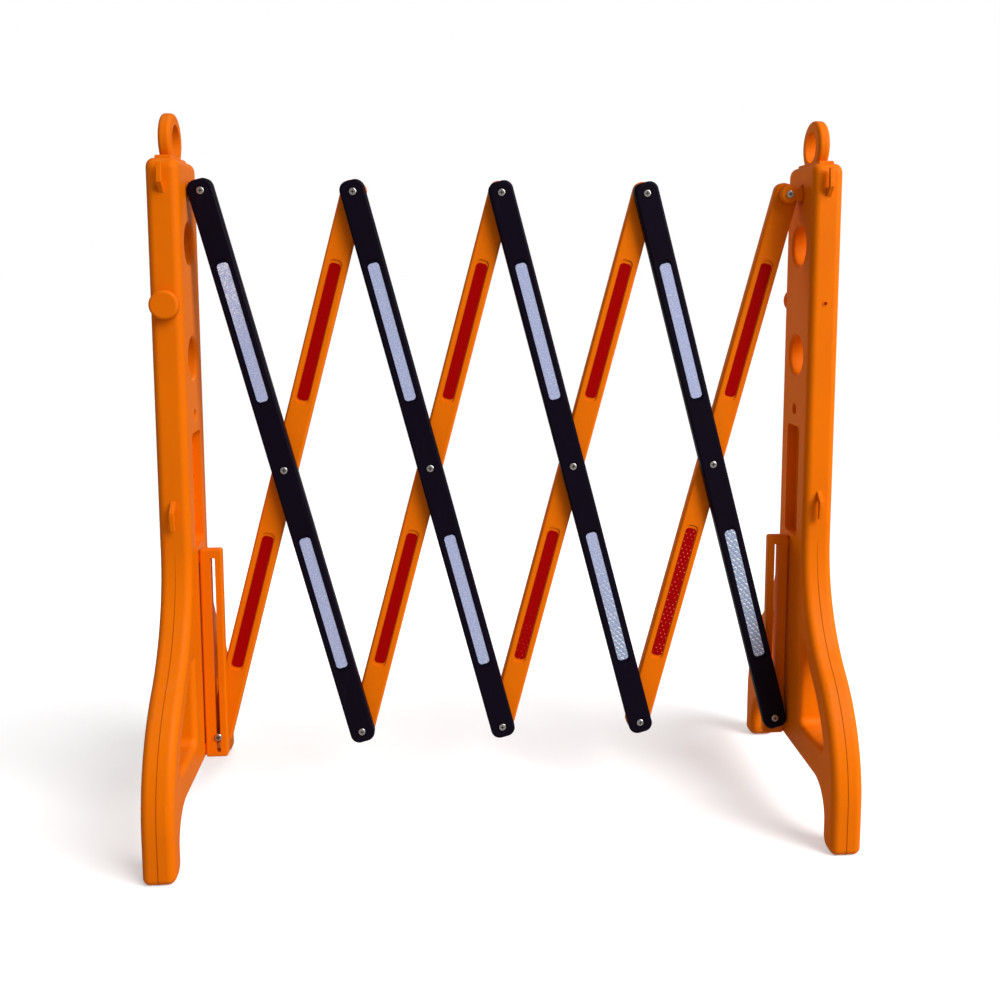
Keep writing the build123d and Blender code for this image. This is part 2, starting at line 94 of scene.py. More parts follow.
class BarricadeSizes(bpy.types.PropertyGroup):
    seam_width: bpy.props.FloatProperty(
        name="Parting line width", description="Width of the flash line left by the mould halves",
        unit="LENGTH", default=0.0011, min=0.0002, max=0.004)
    seam_height: bpy.props.FloatProperty(
        name="Parting line height", description="How far the flash line stands proud",
        unit="LENGTH", default=0.00035, min=0.0001, max=0.002)
    cell_size: bpy.props.FloatProperty(
        name="Reflector cell", description="Width of one sealed cell of the reflective sheet",
        unit="LENGTH", default=0.0064, min=0.001, max=0.02)
    # how deep the dark cross of painted shade sits in each screw's recess
    painted_shade_depth: bpy.props.FloatProperty(
        name="Grime depth", description="How far below the top of a screw the grime in its recess lies",
        unit="LENGTH", default=0.0003, min=0.0001, max=0.001)


class BarricadeStage(bpy.types.PropertyGroup):
    floor_size: bpy.props.FloatProperty(
        name="Floor size", description="Side of the floor sheet",
        unit="LENGTH", default=120.0, min=2, max=400)
    floor_colour: bpy.props.FloatVectorProperty(
        name="Floor colour", description="Studio floor",
        subtype="COLOR", size=3, min=0, max=1, default=(0.90, 0.90, 0.90))
    sky: bpy.props.FloatProperty(
        name="Sky", description="Strength of the even light from all around",
        default=0.29, min=0, max=4)
    key: bpy.props.FloatProperty(
        name="Key light", description="Strength of the broad light from the right",
        default=2.38, min=0, max=20)
    back: bpy.props.FloatProperty(
        name="Back light", description="Watts of the softbox behind the left post",
        default=9.0, min=0, max=200)
    side: bpy.props.FloatProperty(
        name="Side light", description="Watts of the softbox near the right post",
        default=19.0, min=0, max=200)
    floor_bounce: bpy.props.FloatProperty(
        name="Floor bounce", description="Share of the light the floor throws back on the object",
        default=0.42, min=0, max=1)
    camera_place: bpy.props.FloatVectorProperty(
        name="Camera place", description="Where the camera stands",
        subtype="TRANSLATION", size=3, default=(-0.0855, -1.5156, 0.7663))
    camera_lens: bpy.props.FloatProperty(
        name="Lens", description="Focal length in millimetres", default=39.70, min=10, max=300)
    camera_turn: bpy.props.FloatVectorProperty(
        name="Camera turn", description="Yaw to the right, pitch down and roll",
        subtype="EULER", size=3, default=(0.0834, 0.1193, 0.0013))
    camera_shift: bpy.props.FloatVectorProperty(
        name="Lens shift", description="Sideways and upward shift of the lens",
        size=2, default=(-0.0310, -0.1054))


def settings():
    scene = bpy.context.scene
    return scene.barricade_colours, scene.barricade_sizes, scene.barricade_stage


# ------------------------------------------------------------------ node helpers
def new_group(name, inputs, outputs):
    """Empty shader group with (kind, name, default) inputs and (kind, name) outputs."""
    group = bpy.data.node_groups.new(name, "ShaderNodeTree")
    for kind, label, default in inputs:
        socket = group.interface.new_socket(name=label, in_out="INPUT", socket_type="NodeSocket" + kind)
        socket.default_value = default
    for kind, label in outputs:
        group.interface.new_socket(name=label, in_out="OUTPUT", socket_type="NodeSocket" + kind)
    return group


def add(tree, kind, values=None, **settings_of_node):
    """New node; values fills its inputs, linking sockets and setting anything else."""
    node = tree.nodes.new("ShaderNode" + kind)
    for key, value in settings_of_node.items():
        setattr(node, key, value)
    for key, value in (values or {}).items():
        if isinstance(value, bpy.types.NodeSocket):
            tree.links.new(value, node.inputs[key])
        else:
            node.inputs[key].default_value = value
    return node


def math_node(tree, operation, first, second=0.0, clamp=False):
    node = add(tree, "Math", {0: first, 1: second}, operation=operation, use_clamp=clamp)
    return node.outputs[0]


def vector_math(tree, operation, first, second=(0, 0, 0), output=0):
    return add(tree, "VectorMath", {0: first, 1: second}, operation=operation).outputs[output]


def mix_colour(tree, factor, first, second):
    node = add(tree, "Mix", {"Factor": factor}, data_type="RGBA")
    for index, value in ((6, first), (7, second)):
        if isinstance(value, bpy.types.NodeSocket):
            tree.links.new(value, node.inputs[index])
        else:
            node.inputs[index].default_value = (*value[:3], 1.0)
    return node.outputs[2]


def map_range(tree, value, low, high, to_low=0.0, to_high=1.0):
    values = {0: value, 1: low, 2: high, 3: to_low, 4: to_high}
    return add(tree, "MapRange", values, clamp=True).outputs[0]


def noise(tree, vector, scale, detail=3.0, roughness=0.55):
    values = {"Vector": vector, "Scale": scale, "Detail": detail, "Roughness": roughness}
    return add(tree, "TexNoise", values).outputs["Fac"]


# ------------------------------------------------------------------ values of the finishes
NOISE_SCALES = {                # features per metre
    "cloud": 9.0, "patch": 14.0, "skin": 120.0, "fine": 900.0, "dust": 55.0, "sheet grain": 520.0,
    "sheet wave": 270.0, "zinc spot": 700.0, "rubber bloom": 260.0, "floor": 3.0}
STREAK_STRETCH = (60.0, 60.0, 7.0)          # rubbed marks run up and down
SCRATCH_STRETCH = (400.0, 400.0, 3000.0)    # scratches run across
SKIN_DEPTH = 0.00025            # depth of the moulded grain
CELL_DEPTH = 0.0002             # depth of the borders of the sealed cells
SCRATCH_DEPTH = 0.00005
CELL_BORDER = 0.03              # width of a cell's border, as a share of the cell
BORDER_TONE = 0.10              # how much the borders stand out
HIGH_END = (-1.01, -1.09)       # X minus Z where the painted sparkle atop the first strip starts and is full
WAVE_BAND = (0.04, 0.012)       # half width of a wavy line of that sparkle, soft and full
CALMING = 0.4                   # share of the prisms' darker tone left where the painted flashes are
LAMP_WHITE = (1.0, 1.0, 1.0, 1.0)


# ------------------------------------------------------------------ shared effects
def moulded_tone_group():
    """Cloudy tone of moulded plastic, with fine grain and faint rubbed marks."""
    group = new_group(
        "Moulded Tone",
        [("Color", "Colour", (0.8, 0.15, 0.0, 1)), ("Color", "Pale", (0.9, 0.3, 0.1, 1)),
         ("Float", "Cloud", 0.06), ("Float", "Rub", 0.25), ("Float", "Roughness", 0.42),
         ("Float", "Grain", 0.35)],
        [("Color", "Colour"), ("Float", "Roughness"), ("Vector", "Normal")])
    source = group.nodes.new("NodeGroupInput").outputs
    place = add(group, "TexCoord").outputs["Object"]
    cloud = noise(group, place, NOISE_SCALES["cloud"], 4.0)
    darker = map_range(group, cloud, 0.35, 0.65, 0.0, 1.0)
    depth = math_node(group, "MULTIPLY", darker, source["Cloud"])
    dark = vector_math(group, "MULTIPLY", source["Colour"], (0.62, 0.55, 0.5))
    toned = mix_colour(group, depth, source["Colour"], dark)

    stretched = add(group, "Mapping", {"Vector": place, "Scale": STREAK_STRETCH}).outputs[0]
    streak = noise(group, stretched, 3.0, 5.0, 0.7)
    patches = noise(group, place, NOISE_SCALES["patch"], 2.0)
    scuffs = math_node(group, "MULTIPLY", map_range(group, streak, 0.60, 0.74),
                       map_range(group, patches, 0.48, 0.66))
    rubbed = math_node(group, "MULTIPLY", scuffs, source["Rub"])
    final = mix_colour(group, rubbed, toned, source["Pale"])

    fine = noise(group, place, NOISE_SCALES["fine"], 2.0)
    skin = noise(group, place, NOISE_SCALES["skin"], 3.0)
    rough = math_node(group, "ADD", source["Roughness"], map_range(group, cloud, 0.3, 0.7, -0.05, 0.06))
    rough = math_node(group, "ADD", rough, math_node(group, "MULTIPLY", rubbed, 0.25), clamp=True)
    height = math_node(group, "ADD", math_node(group, "MULTIPLY", fine, 0.6), skin)
    bump = add(group, "Bump", {"Strength": source["Grain"], "Distance": SKIN_DEPTH, "Height": height})
    target = group.nodes.new("NodeGroupOutput")
    group.links.new(final, target.inputs["Colour"])
    group.links.new(rough, target.inputs["Roughness"])
    group.links.new(bump.outputs[0], target.inputs["Normal"])
    return group


def settled_dust_group():
    """Pale dust on faces that look upwards and in broken patches elsewhere."""
    group = new_group(
        "Settled Dust",
        [("Color", "Colour", (0.8, 0.15, 0.0, 1)), ("Color", "Dust", (0.5, 0.46, 0.42, 1)),
         ("Float", "Amount", 0.12)],
        [("Color", "Colour"), ("Float", "Mask")])
    source = group.nodes.new("NodeGroupInput").outputs
    up = add(group, "SeparateXYZ", {0: add(group, "NewGeometry").outputs["Normal"]}).outputs[2]
    place = add(group, "TexCoord").outputs["Object"]
    broken = map_range(group, noise(group, place, NOISE_SCALES["dust"], 5.0, 0.7), 0.4, 0.68)
    facing = map_range(group, up, 0.35, 1.0)
    mask = math_node(group, "MULTIPLY", math_node(group, "MULTIPLY", broken, facing), source["Amount"])
    target = group.nodes.new("NodeGroupOutput")
    group.links.new(mix_colour(group, mask, source["Colour"], source["Dust"]), target.inputs["Colour"])
    group.links.new(mask, target.inputs["Mask"])
    return group


def sealed_cells_group():
    """Hexagonal sealed cells of prismatic sheet: borders, prisms and the masks of the painted flashes
    inside the cells.
    """
    group = new_group(
        "Sealed Cells",
        [("Vector", "Place", (0, 0, 0)), ("Float", "Cell", 0.004), ("Float", "Border", 0.16)],
        [("Float", label) for label in ("Border", "Glint", "Prisms", "Crescent", "Dot", "Height")])
    source = group.nodes.new("NodeGroupInput").outputs
    inverse = math_node(group, "DIVIDE", 1.0, source["Cell"])
    grid = vector_math(group, "MULTIPLY", source["Place"], (1.0, 0.0, 1.0))
    scaled = add(group, "VectorMath", {0: grid, 3: inverse}, operation="SCALE").outputs[0]
    pitch = (1.0, 1.0, math.sqrt(3.0))
    half = (0.5, 0.5, math.sqrt(3.0) / 2)

    def centred(offset):
        """Position inside the nearest cell of one of the two interleaved grids."""
        moved = vector_math(group, "ADD", scaled, offset)
        wrapped = add(group, "VectorMath", {0: moved, 1: pitch, 2: (0, 0, 0)}, operation="WRAP").outputs[0]
        return vector_math(group, "SUBTRACT", wrapped, half), vector_math(group, "SUBTRACT", moved, wrapped)

    first, first_cell = centred((0, 0, 0))
    second, second_cell = centred(half)
    flat = (1.0, 0.0, 1.0)
    first = vector_math(group, "MULTIPLY", first, flat)
    second = vector_math(group, "MULTIPLY", second, flat)
    first_far = vector_math(group, "LENGTH", first, output=1)
    second_far = vector_math(group, "LENGTH", second, output=1)
    nearer = math_node(group, "LESS_THAN", second_far, first_far)
    inside = add(group, "Mix", {0: nearer, 4: first, 5: second}, data_type="VECTOR").outputs[1]
    shifted = vector_math(group, "ADD", second_cell, (0.37, 0.0, 0.71))
    cell_id = add(group, "Mix", {0: nearer, 4: first_cell, 5: shifted}, data_type="VECTOR").outputs[1]
    fold = vector_math(group, "ABSOLUTE", inside)
    side = add(group, "SeparateXYZ", {0: fold})
    slope = math_node(group, "ADD", math_node(group, "MULTIPLY", side.outputs[0], 0.5),
                      math_node(group, "MULTIPLY", side.outputs[2], math.sqrt(3.0) / 2))
    edge = math_node(group, "MAXIMUM", slope, side.outputs[0])
    inner = math_node(group, "SUBTRACT", 0.5, source["Border"])
    border = map_range(group, math_node(group, "SUBTRACT", edge, inner), 0.0, 0.05)
    glint = add(group, "TexWhiteNoise", {"Vector": cell_id}, noise_dimensions="3D").outputs["Value"]
    prisms = add(group, "TexVoronoi", {"Vector": scaled, "Scale": 5.0, "Randomness": 0.35},
                 feature="F1").outputs["Distance"]
    height = math_node(group, "ADD", border, math_node(group, "MULTIPLY", prisms, 0.3))
    # crescent and dot: masks of the painted flashes inside the cells
    far = vector_math(group, "LENGTH", inside, output=1)
    ring = math_node(group, "SUBTRACT", 1.0, map_range(
        group, math_node(group, "ABSOLUTE", math_node(group, "SUBTRACT", far, 0.30)), 0.07, 0.13))
    tilt = vector_math(group, "DOT_PRODUCT", inside, (0.7, 0.0, 0.7), output=1)
    crescent = math_node(group, "MULTIPLY", ring, map_range(group, tilt, 0.04, 0.12))
    beside = vector_math(group, "DISTANCE", inside, (0.12, 0.0, -0.08), output=1)
    dot = math_node(group, "SUBTRACT", 1.0, map_range(group, beside, 0.08, 0.16))
    target = group.nodes.new("NodeGroupOutput")
    for label, value in (("Border", border), ("Glint", glint), ("Prisms", prisms),
                         ("Crescent", crescent), ("Dot", dot), ("Height", height)):
        group.links.new(value, target.inputs[label])
    return group


def effect(name):
    """The shared group of this name, built the first time it is asked for."""
    makers = {
        "Moulded Tone": moulded_tone_group,
        "Settled Dust": settled_dust_group,
        "Sealed Cells": sealed_cells_group,
    }
    return bpy.data.node_groups.get(name) or makers[name]()


def place_effect(tree, name, values):
    node = tree.nodes.new("ShaderNodeGroup")
    node.node_tree = effect(name)
    for key, value in values.items():
        if isinstance(value, bpy.types.NodeSocket):
            tree.links.new(value, node.inputs[key])
        else:
            node.inputs[key].default_value = value
    return node.outputs


def new_material(name):
    """Material with a Principled shader, and the two of them."""
    material = bpy.data.materials.new(name)
    material.use_nodes = True
    tree = material.node_tree
    shader = next(node for node in tree.nodes if node.type == "BSDF_PRINCIPLED")
    return material, tree, shader


def colour4(colour):
    return (*colour, 1.0)


# ------------------------------------------------------------------ finishes
def moulded_plastic(name, colour, pale, tone):
    """Moulded polyethylene: soft gloss, cloudy tone, fine grain, rubbed marks and a little dust."""
    material, tree, shader = new_material(name)
    moulded = place_effect(tree, "Moulded Tone", {
        "Colour": colour4(colour), "Pale": colour4(pale), **tone["moulded"]})
    dust = place_effect(tree, "Settled Dust", {"Colour": moulded["Colour"], **tone["dust"]})
    tree.links.new(dust["Colour"], shader.inputs["Base Color"])
    tree.links.new(moulded["Roughness"], shader.inputs["Roughness"])
    tree.links.new(moulded["Normal"], shader.inputs["Normal"])
    shader.inputs["Specular IOR Level"].default_value = tone["specular"]
    shader.inputs["Subsurface Weight"].default_value = tone["translucency"]
    shader.inputs["Subsurface Radius"].default_value = (0.004, 0.0015, 0.0005)
    shader.inputs["Subsurface Scale"].default_value = 1.0
    return material


def reflective_sheet(name, colour, lean, look):
    """Prismatic sheet: sealed cells with painted flashes at the near, low end, and a painted sparkle atop
    the first strip.
    """
    material, tree, shader = new_material(name)
    place = add(tree, "TexCoord").outputs["Object"]
    upright = add(tree, "Mapping", {"Vector": place, "Rotation": (0.0, lean, 0.0)}).outputs[0]
    cells = place_effect(tree, "Sealed Cells", {
        "Place": upright, "Cell": settings()[1].cell_size, "Border": CELL_BORDER})
    part = add(tree, "SeparateXYZ", {0: place})
    # painted light: the near, low end of each strip gets a darker ground and painted flashes, as if
    # throwing back the light
    across = math_node(tree, "SUBTRACT", part.outputs[0], part.outputs[2])
    lit_end = map_range(tree, across, *look["lit_from_to"])
    high_end = map_range(tree, across, *HIGH_END)
    calm = map_range(tree, lit_end, 0.0, 1.0, look["prism_depth"], look["prism_depth"] * CALMING)
    prism = math_node(tree, "MULTIPLY", map_range(tree, cells["Prisms"], 0.15, 0.75), calm)
    ground = mix_colour(tree, lit_end, colour, look["far"])
    base = mix_colour(tree, prism, ground, look["deep"])
    # painted glints: fine specks, and a painted sparkle atop the first strip
    grain = noise(tree, place, NOISE_SCALES["sheet grain"], 3.0, 0.7)
    wave = math_node(tree, "SUBTRACT", noise(tree, place, NOISE_SCALES["sheet wave"], 1.0), 0.5)
    squiggle = map_range(tree, math_node(tree, "ABSOLUTE", wave), *WAVE_BAND, 0.0, look["squiggle"])
    sparkle = math_node(tree, "MULTIPLY", squiggle, high_end)
    speck = math_node(tree, "ADD", map_range(tree, grain, 0.52, 0.66, 0.0, look["glint"]), sparkle)
    faint = math_node(tree, "MULTIPLY", speck, look["speckle"])
    strength = map_range(tree, cells["Glint"], 0.15, 0.6, look["least"], 1.0)
    flash = math_node(tree, "MULTIPLY", cells[look["flash"]], lit_end)
    flash = math_node(tree, "MULTIPLY", flash, strength)
    # painted highlight: specks, sparkle and flashes are mixed towards the highlight colour
    lit = mix_colour(tree, math_node(tree, "MAXIMUM", faint, flash), base, look["painted_highlight"])
    border = math_node(tree, "MULTIPLY", cells["Border"], BORDER_TONE)
    edged = mix_colour(tree, border, lit, look["edge"])
    tree.links.new(edged, shader.inputs["Base Color"])
    tree.links.new(map_range(tree, cells["Glint"], 0.0, 1.0, 0.25, 0.42), shader.inputs["Roughness"])
    bump = add(tree, "Bump", {"Strength": 0.30, "Distance": CELL_DEPTH, "Height": cells["Height"]})
    tree.links.new(bump.outputs[0], shader.inputs["Normal"])
    shader.inputs["Specular IOR Level"].default_value = look["specular"]
    shader.inputs["Coat Weight"].default_value = look["coat"]
    shader.inputs["Coat Roughness"].default_value = 0.15
    return material


def zinc_plate(colour):
    """Bright zinc with fine scratches and dull spots."""
    material, tree, shader = new_material("zinc_plate")
    place = add(tree, "TexCoord").outputs["Object"]
    spots = noise(tree, place, NOISE_SCALES["zinc spot"], 4.0, 0.7)
    tone = mix_colour(tree, map_range(tree, spots, 0.4, 0.7), colour, (0.36, 0.33, 0.29))
    tree.links.new(tone, shader.inputs["Base Color"])
    tree.links.new(map_range(tree, spots, 0.3, 0.7, 0.18, 0.42), shader.inputs["Roughness"])
    shader.inputs["Metallic"].default_value = 1.0
    scratches = add(tree, "Mapping", {"Vector": place, "Scale": SCRATCH_STRETCH}).outputs[0]
    height = noise(tree, scratches, 1.0)
    bump = add(tree, "Bump", {"Strength": 0.2, "Distance": SCRATCH_DEPTH, "Height": height})
    tree.links.new(bump.outputs[0], shader.inputs["Normal"])
    return material


def gasket_rubber(name, colour):
    """Dull dark rubber with a pale bloom; also the dark painted shade in the screw recesses."""
    material, tree, shader = new_material(name)
    place = add(tree, "TexCoord").outputs["Object"]
    bloom = noise(tree, place, NOISE_SCALES["rubber bloom"], 4.0)
    shade = mix_colour(tree, map_range(tree, bloom, 0.45, 0.75, 0.0, 0.4), colour, (0.10, 0.095, 0.09))
    tree.links.new(shade, shader.inputs["Base Color"])
    tree.links.new(map_range(tree, bloom, 0.3, 0.7, 0.6, 0.8), shader.inputs["Roughness"])
    return material


ORANGE_TONE = {
    "moulded": {"Cloud": 0.16, "Rub": 0.16, "Roughness": 0.46, "Grain": 0.30},
    "dust": {"Dust": (0.62, 0.36, 0.20, 1), "Amount": 0.08},
    "specular": 0.06, "translucency": 0.10}
PARTING_DIRT_AND_SHADE = 0.50            # dirt, and painted shade for the shadow beside the ridge, darken the parting line
PARTING_TONE = {
    "moulded": {"Cloud": 0.5, "Rub": 0.10, "Roughness": 0.55, "Grain": 0.5},
    "dust": {"Dust": (0.20, 0.07, 0.02, 1), "Amount": 0.3},
    "specular": 0.05, "translucency": 0.0}
BLACK_TONE = {
    "moulded": {"Cloud": 0.3, "Rub": 0.12, "Roughness": 0.42, "Grain": 0.30},
    "dust": {"Dust": (0.05, 0.045, 0.06, 1), "Amount": 0.10},
    "specular": 0.07, "translucency": 0.0}
# painted light: far tints the ground at the lit end, and the highlight colour, glint, squiggle and flash
# settings draw painted flashes and sparkle
WHITE_LOOK = {
    "specular": 0.3, "coat": 0.15, "deep": (0.30, 0.33, 0.50), "prism_depth": 0.9,
    "far": (0.25, 0.33, 0.50), "painted_highlight": (1.0, 1.0, 1.0), "glint": 0.55, "speckle": 1.0,
    "flash": "Crescent", "least": 0.35, "squiggle": 0.8, "lit_from_to": (-0.30, -0.05),
    "edge": (0.62, 0.62, 0.74)}
RED_LOOK = {
    "specular": 0.04, "coat": 0.0, "deep": (0.26, 0.0, 0.0), "prism_depth": 0.7,
    "far": (0.36, 0.0005, 0.0005), "painted_highlight": (0.95, 0.16, 0.12), "glint": 0.02, "speckle": 0.5,
    "flash": "Dot", "least": 0.05, "squiggle": 0.0, "lit_from_to": (-0.24, -0.08),
    "edge": (0.5, 0.005, 0.005)}


def finish(name):
    """The finish of this name, made the first time it is asked for."""
    made = bpy.data.materials.get(name)
    if made:
        return made
    colours = settings()[0]
    lean = slat_lean()
    makers = {
        "moulded_orange": lambda: moulded_plastic(name, colours.orange, (0.92, 0.30, 0.06), ORANGE_TONE),
        # darker orange: dirt, plus painted shade for the shadow beside the ridge
        "parting_line": lambda: moulded_plastic(
            name, tuple(part * PARTING_DIRT_AND_SHADE for part in colours.orange), (0.5, 0.16, 0.02), PARTING_TONE),
        # painted shade for the floors of the blind vents
        "vent_painted_shade": lambda: moulded_plastic(name, colours.recess, (0.3, 0.05, 0.01), PARTING_TONE),
        "moulded_black": lambda: moulded_plastic(name, colours.black, (0.10, 0.09, 0.11), BLACK_TONE),
        "white_sheet": lambda: reflective_sheet(name, colours.white_sheet, lean, WHITE_LOOK),
        "red_sheet": lambda: reflective_sheet(name, colours.red_sheet, -lean, RED_LOOK),
        "zinc_plate": lambda: zinc_plate(colours.steel),
        "plug_rubber": lambda: gasket_rubber(name, colours.rubber),
        # painted shade for the screw recesses
        "painted_shade": lambda: gasket_rubber(name, colours.painted_shade),
    }
    return makers[name]()


def paint(piece, name):
    piece.data.materials.clear()
    piece.data.materials.append(finish(name))


# ------------------------------------------------------------------ piece helpers
SEAM_FLOOR_GAP = 0.0005         # parting lines stop this far above the floor
SEAM_HOOK_GAP = 0.004           # and this far below the lower hooks
SEAM_REACH = 0.0028             # only the outer wall comes this near to the floor
WELD_GAP = 0.000002             # vertices this close are one
SEAM_SUNK = 0.0001              # roots of the lines sit this deep in the post
SEAM_FADE = 0.1                 # the lines thin out over this height below their upper ends
SEAM_THINNEST = 0.25            # down to this share of their size
SEAM_TOP_SHARE = 0.6            # width of a line's flat top, as a share of its root
VENT_RADIUS = 0.0023            # just inside the vent's wall
VENT_THICKNESS = 0.0022
VENT_SIDES = 32
# dark cross of painted shade in each screw's recess, standing in for its shadow
PAINTED_SHADE_THICKNESS = 0.0003
PAINTED_SHADE_REACH = 0.52              # length and width of the painted shade cross in a recess, as shares of the head's radius
PAINTED_SHADE_WIDTH = 0.135


def box_of(piece):
    """Lowest and highest corner of a piece's box in the scene."""
    corners = [piece.matrix_world @ Vector(corner) for corner in piece.bound_box]
    return (Vector([min(corner[k] for corner in corners) for k in range(3)]),
            Vector([max(corner[k] for corner in corners) for k in range(3)]))


def grow(chain, line):
    """Carry the chain on from its last vertex as far as the remaining edges go."""
    while True:
        edge = next((edge for edge in chain[-1].link_edges if edge in line), None)
        if edge is None:
            return
        line.remove(edge)
        chain.append(edge.other_vert(chain[-1]))


def outer_chains(line):
    """Ordered runs of vertices along the cut edges, leaving out the inside wall and the windows."""
    chains = []
    while line:
        chain = list(line.pop(0).verts)
        for _ in range(2):
            grow(chain, line)
            chain.reverse()
        if min(vert.co.z for vert in chain) < SEAM_REACH:
            chains.append(chain)
    return chains


def add_ridge(ridge, chain, middle, sizes):
    """Closed flat-topped ridge along a run of vertices in the plane X = middle."""
    summit = max(vert.co.z for vert in chain)
    rings = []
    for i, vert in enumerate(chain):
        before, after = chain[max(i - 1, 0)], chain[min(i + 1, len(chain) - 1)]
        along = (after.co - before.co).normalized()
        outward = Vector((0.0, -along.z, along.y))
        if outward.dot(vert.normal) < 0:
            outward.negate()
        share = min(1.0, SEAM_THINNEST + (summit - vert.co.z) / SEAM_FADE)
        root = sizes.seam_width * share / 2
        low = vert.co - outward * SEAM_SUNK
        high = vert.co + outward * sizes.seam_height * share
        section = ((-root, low), (-root * SEAM_TOP_SHARE, high), (root * SEAM_TOP_SHARE, high), (root, low))
        rings.append([ridge.verts.new((middle + x, point.y, point.z)) for x, point in section])
    for first, second in zip(rings, rings[1:]):
        for i in range(4):
            j = (i + 1) % 4
            ridge.faces.new((first[i], first[j], second[j], second[i]))
    ridge.faces.new(rings[0])
    ridge.faces.new(rings[-1])


def linked_verts(start, seen):
    """Every vertex joined to the first one by edges, marked as seen."""
    part, waiting = [], [start]
    seen.add(start)
    while waiting:
        vert = waiting.pop()
        part.append(vert)
        fresh = {edge.other_vert(vert) for edge in vert.link_edges} - seen
        seen |= fresh
        waiting.extend(fresh)
    return part


def screw_heads(screws):
    """Centre of each head's outer face and the head's radius, one per loose part of the node."""
    loose = bmesh.new()
    loose.from_mesh(screws.data)
    loose.transform(screws.matrix_world)
    bmesh.ops.remove_doubles(loose, verts=loose.verts[:], dist=WELD_GAP)
    heads, seen = [], set()
    for start in loose.verts:
        if start not in seen:
            spots = [vert.co for vert in linked_verts(start, seen)]
            low, high = (Vector([end(spot[k] for spot in spots) for k in range(3)]) for end in (min, max))
            centre = Vector(((low.x + high.x) / 2, low.y, (low.z + high.z) / 2))
            heads.append((centre, (high.x - low.x) / 2))
    loose.free()
    return heads


def add_cross(crosses, centre, head, sizes):
    """Two thin dark bars crossing inside the recess of a screw's head: painted shade for the shadow in the
    recess.
    """
    front = centre.y + sizes.painted_shade_depth
    back = front + PAINTED_SHADE_THICKNESS
    long, short = head * PAINTED_SHADE_REACH, head * PAINTED_SHADE_WIDTH
    for x, z in ((long, short), (short, long)):
        corners = [crosses.verts.new((centre.x + a * x, y, centre.z + b * z))
                   for y in (front, back) for a, b in ((-1, -1), (1, -1), (1, 1), (-1, 1))]
        for quad in ((0, 1, 2, 3), (7, 6, 5, 4), (0, 4, 5, 1), (1, 5, 6, 2), (2, 6, 7, 3), (3, 7, 4, 0)):
            crosses.faces.new([corners[i] for i in quad])


def mesh_of(shape, name):
    mesh = bpy.data.meshes.new(name)
    bmesh.ops.recalc_face_normals(shape, faces=shape.faces)
    shape.to_mesh(mesh)
    shape.free()
    return mesh


def new_piece(name, mesh, body, finish_name):
    piece = bpy.data.objects.new(name, mesh)
    bpy.context.scene.collection.objects.link(piece)
    paint(piece, finish_name)
    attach(piece, body)
    return piece


# ------------------------------------------------------------------ operators
class BARRICADE_OT_posts(bpy.types.Operator):
    """Give the end posts and their fittings their moulded orange finish"""
    bl_idname = "barricade.posts"
    bl_label = "Posts"

    def execute(self, context):
        for side in SIDES:
            for node in POST_NODES + ("filler_plug",):
                paint(NODES["%s_%s" % (side, node)], "moulded_orange")
            paint(NODES[side + "_plug_gasket"], "plug_rubber")
        return {"FINISHED"}


class BARRICADE_OT_seams(bpy.types.Operator):
    """Add the parting line of the mould halves round each foot, darkened by dirt and painted shade, and a
    disc of painted shade at the floor of each vent
    """
    bl_idname = "barricade.seams"
    bl_label = "Parting lines"

    def execute(self, context):
        for side in SIDES:
            new_piece(side + "_parting_line", self.ridges(side, settings()[1]), side + "_post",
                      "parting_line")
            new_piece(side + "_vent_painted_shade_disc", self.vent_painted_shade_disc(side), side + "_post",
                      "vent_painted_shade")
        return {"FINISHED"}

    def vent_painted_shade_disc(self, side):
        """Rough disc at the bottom of the blind vent, across the post from the filler plug: painted shade
        standing in for the shadow inside the vent.
        """
        low, high = box_of(NODES[side + "_plug_gasket"])
        face = min(low.y, high.y, key=abs)
        disc = bmesh.new()
        place = Matrix.Translation(((low.x + high.x) / 2, -face, (low.z + high.z) / 2))
        bmesh.ops.create_cone(
            disc, cap_ends=True, segments=VENT_SIDES, radius1=VENT_RADIUS, radius2=VENT_RADIUS,
            depth=VENT_THICKNESS, matrix=place @ Matrix.Rotation(math.pi / 2, 4, "X"))
        return mesh_of(disc, side + "_vent_painted_shade_disc")

    def ridges(self, side, sizes):
        """Flat-topped ridges along the post's contour in its middle plane, below the lower hooks."""
        shell = NODES[side + "_post_shell"]
        top = box_of(NODES[side + "_rope_hooks"])[0].z - SEAM_HOOK_GAP
        low, high = box_of(shell)
        middle = (low.x + high.x) / 2
        cut = bmesh.new()
        cut.from_mesh(shell.data)
        cut.transform(shell.matrix_world)
        bmesh.ops.remove_doubles(cut, verts=cut.verts[:], dist=WELD_GAP)
        sliced = bmesh.ops.bisect_plane(
            cut, geom=cut.verts[:] + cut.edges[:] + cut.faces[:],
            plane_co=(middle, 0, 0), plane_no=(1, 0, 0))["geom_cut"]
        cut.normal_update()
        line = [edge for edge in sliced if isinstance(edge, bmesh.types.BMEdge)
                and all(SEAM_FLOOR_GAP < vert.co.z < top for vert in edge.verts)]
        ridge = bmesh.new()
        for chain in outer_chains(line):
            add_ridge(ridge, chain, middle, sizes)
        cut.free()
        return mesh_of(ridge, side + "_parting_line")


class BARRICADE_OT_recesses(bpy.types.Operator):
    """Darken the cross recess of every screw with painted shade: a dark cross standing in for the shadow
    there
    """
    bl_idname = "barricade.recesses"
    bl_label = "Recess grime"

    def execute(self, context):
        sizes = settings()[1]
        for body in FASTENED_BODIES:
            crosses = bmesh.new()
            for centre, head in screw_heads(NODES[body + "_screws"]):
                add_cross(crosses, centre, head, sizes)
            new_piece(body + "_recess_painted_shade", mesh_of(crosses, body + "_recess_painted_shade"), body,
                      "painted_shade")
        return {"FINISHED"}


